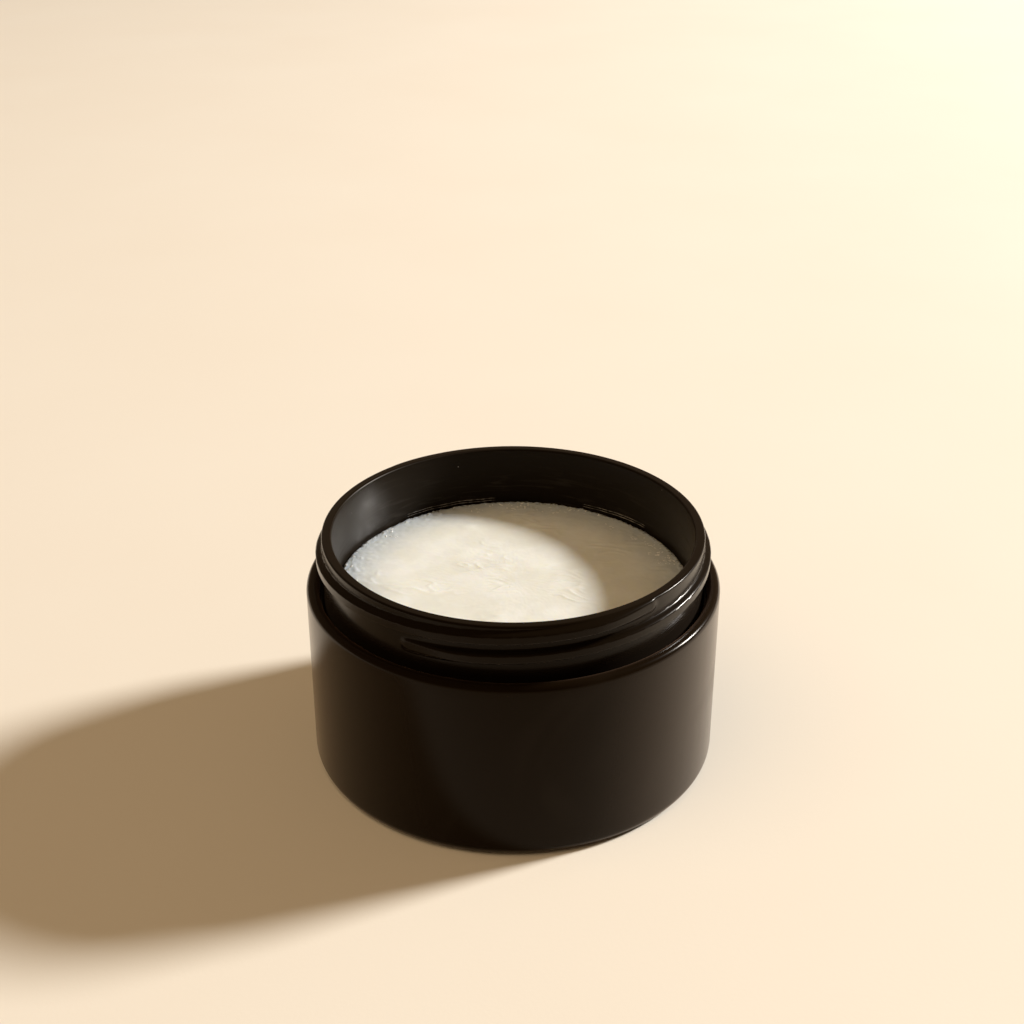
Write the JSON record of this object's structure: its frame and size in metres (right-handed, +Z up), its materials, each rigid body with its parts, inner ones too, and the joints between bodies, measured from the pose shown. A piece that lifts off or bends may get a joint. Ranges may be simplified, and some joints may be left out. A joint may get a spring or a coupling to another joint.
{
  "type": "cosmetic cream jar",
  "caption": "Open black double-wall jar with a threaded neck, holding ivory cream below its lip.",
  "frame": {"origin": "centre of the ring that the jar stands on, on the jar's axis", "axes": "+Z up the jar's axis and out of its mouth; -Y is the front, 30 degrees past the start of a thread ridge; +X is to the right"},
  "size_m": [0.066, 0.066, 0.0389],
  "materials": {
    "shell_black": "satin moulded polypropylene, warm black, with a glossier rim",
    "cup_black": "semi-gloss moulded polypropylene, warm black",
    "cream": "soft ivory cream with a raked, faintly glossy surface"
  },
  "bodies": {
    "root": {"outer_shell": "shell_black", "inner_cup": "cup_black", "cream": "cream"}
  },
  "joints": []
}
